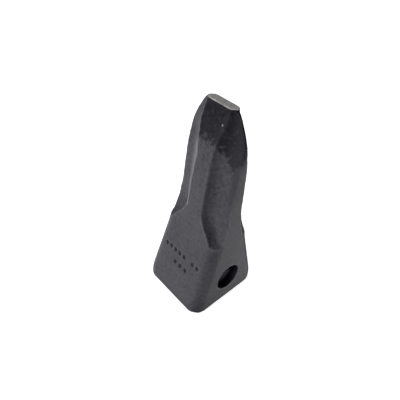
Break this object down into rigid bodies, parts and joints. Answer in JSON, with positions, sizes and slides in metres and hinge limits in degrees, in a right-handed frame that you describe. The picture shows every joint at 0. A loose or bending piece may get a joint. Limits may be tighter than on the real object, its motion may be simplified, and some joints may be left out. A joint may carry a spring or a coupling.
{
  "type": "excavator bucket tooth",
  "caption": "Cast steel rock-chisel bucket tooth with scalloped corners, a tapered nose socket and a rubber-cored side lock pin.",
  "frame": {"origin": "centre of the socket rim, on the plane of the rim face", "axes": "+Z from the socket rim up to the digging tip, +X along the cross pin and the cutting edge, +Y through the tooth's thickness, away from the face with the foundry pips"},
  "size_m": [0.0678, 0.0744, 0.179],
  "materials": {
    "cast_steel": "dark grey sprayed cast surface, satin, with orange-peel grain",
    "pin_steel": "dark oiled heat-treated steel",
    "pin_rubber": "matt black bonded rubber"
  },
  "bodies": {
    "tooth": {"tooth_body": "cast_steel"},
    "pin": {"pin_main_bar": "pin_steel", "pin_rubber": "pin_rubber"},
    "lock_bar": {"pin_lock_bar": "pin_steel"}
  },
  "joints": [
    {"name": "pin_slide", "type": "slide", "parent": "tooth", "child": "pin", "axis": [1, 0, 0], "range_m": [0, 0.062]},
    {"name": "lock_squeeze", "type": "slide", "parent": "pin", "child": "lock_bar", "axis": [0, 0, -1], "range_m": [0, 0.0015], "stiffness_N_per_m": 12000, "deforming": ["pin_rubber"]}
  ]
}
